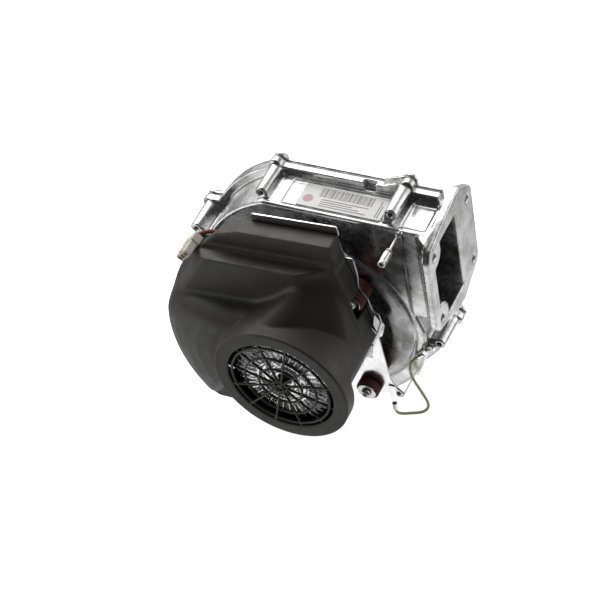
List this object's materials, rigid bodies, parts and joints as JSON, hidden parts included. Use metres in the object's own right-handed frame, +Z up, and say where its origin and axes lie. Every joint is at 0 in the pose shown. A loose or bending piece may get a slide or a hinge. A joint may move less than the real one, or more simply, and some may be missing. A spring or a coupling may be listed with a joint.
{
  "type": "combustion fan",
  "caption": "Premix combustion fan: cast scroll housing with a square outlet flange, an external-rotor motor on rubber mounts and a black cover with a round grille.",
  "frame": {"origin": "centre of the outlet flange's four screw holes, on its sealing face", "axes": "+X blows out of the outlet, +Z is up with the rating label on top, +Y is the air inlet side and -Y the motor side; the shaft runs along Y"},
  "size_m": [0.2466, 0.1656, 0.2577],
  "materials": {
    "cast_aluminium": "die-cast aluminium, lightly mottled, bright",
    "impeller_aluminium": "pressed and riveted aluminium",
    "zinc_plate": "bright zinc-plated sheet steel",
    "steel": "zinc-plated machine steel",
    "rotor_steel": "bright pressed steel",
    "electrical_steel": "laminated electrical steel",
    "copper": "enamelled copper wire",
    "magnet": "plastic-bonded ferrite",
    "black_plastic": "moulded black nylon, fine satin texture",
    "mount_rubber": "red-brown silicone rubber",
    "nitrile": "black nitrile rubber",
    "gasket": "grey fibre gasket",
    "circuit_board": "green lacquered board",
    "capacitor_sleeve": "blue shrink sleeve",
    "nylon": "ivory nylon",
    "label_paper": "white printed label, satin laminate",
    "wire_jacket": "pale green and yellow jacket",
    "green_lead": "green jacket",
    "dark_red_lead": "dark red-brown jacket"
  },
  "bodies": {
    "root": {"volute_front": "cast_aluminium", "volute_rear": "cast_aluminium", "housing_seal": "gasket", "housing_screw_1": "steel", "housing_screw_2": "steel", "housing_screw_3": "steel", "housing_screw_4": "steel", "housing_screw_5": "steel", "housing_screw_6": "steel", "housing_screw_7": "steel", "inlet_seal": "nitrile", "motor_plate": "zinc_plate", "motor_cover": "black_plastic", "rubber_mount_1": "mount_rubber", "rubber_mount_2": "mount_rubber", "rubber_mount_3": "mount_rubber", "mount_sleeve_1": "steel", "mount_sleeve_2": "steel", "mount_sleeve_3": "steel", "mount_washer_1": "steel", "mount_washer_2": "steel", "mount_washer_3": "steel", "mount_screw_1": "steel", "mount_screw_2": "steel", "mount_screw_3": "steel", "bearing_tube": "cast_aluminium", "stator_core": "electrical_steel", "stator_windings": "copper", "front_bearing_outer_ring": "steel", "rear_bearing_outer_ring": "steel", "shaft_seal": "nitrile", "circuit_board": "circuit_board", "capacitor_1": "capacitor_sleeve", "capacitor_2": "capacitor_sleeve", "line_choke": "copper", "power_module": "nitrile", "mains_plug": "nylon", "lead_green": "green_lead", "lead_brown": "dark_red_lead", "lead_terminal": "nylon", "plate_terminal": "zinc_plate", "bonding_wire": "wire_jacket", "lug_terminal": "zinc_plate", "earth_screw": "steel", "rating_label": "label_paper", "pressure_tap": "zinc_plate"},
    "rotor": {"shaft": "steel", "rotor_bell": "rotor_steel", "rotor_magnets": "magnet", "cooling_wheel": "rotor_steel", "impeller": "impeller_aluminium", "impeller_nut": "steel", "front_bearing_inner_ring": "steel", "rear_bearing_inner_ring": "steel"},
    "front_cage": {"front_bearing_ball_cage": "steel"},
    "rear_cage": {"rear_bearing_ball_cage": "steel"}
  },
  "joints": [
    {"name": "rotor_spin", "type": "hinge", "parent": "root", "child": "rotor", "pos_m": [-0.1166, -0.055, -0.0702], "axis": [0, 1, 0], "continuous": true},
    {"name": "front_cage_spin", "type": "hinge", "parent": "root", "child": "front_cage", "pos_m": [-0.1166, -0.0925, -0.0702], "axis": [0, 1, 0], "continuous": true},
    {"name": "rear_cage_spin", "type": "hinge", "parent": "root", "child": "rear_cage", "pos_m": [-0.1166, -0.0545, -0.0702], "axis": [0, 1, 0], "continuous": true}
  ],
  "couplings": [
    {"joint": "front_cage_spin", "follows": "rotor_spin", "ratio": 0.385},
    {"joint": "rear_cage_spin", "follows": "rotor_spin", "ratio": 0.385}
  ]
}
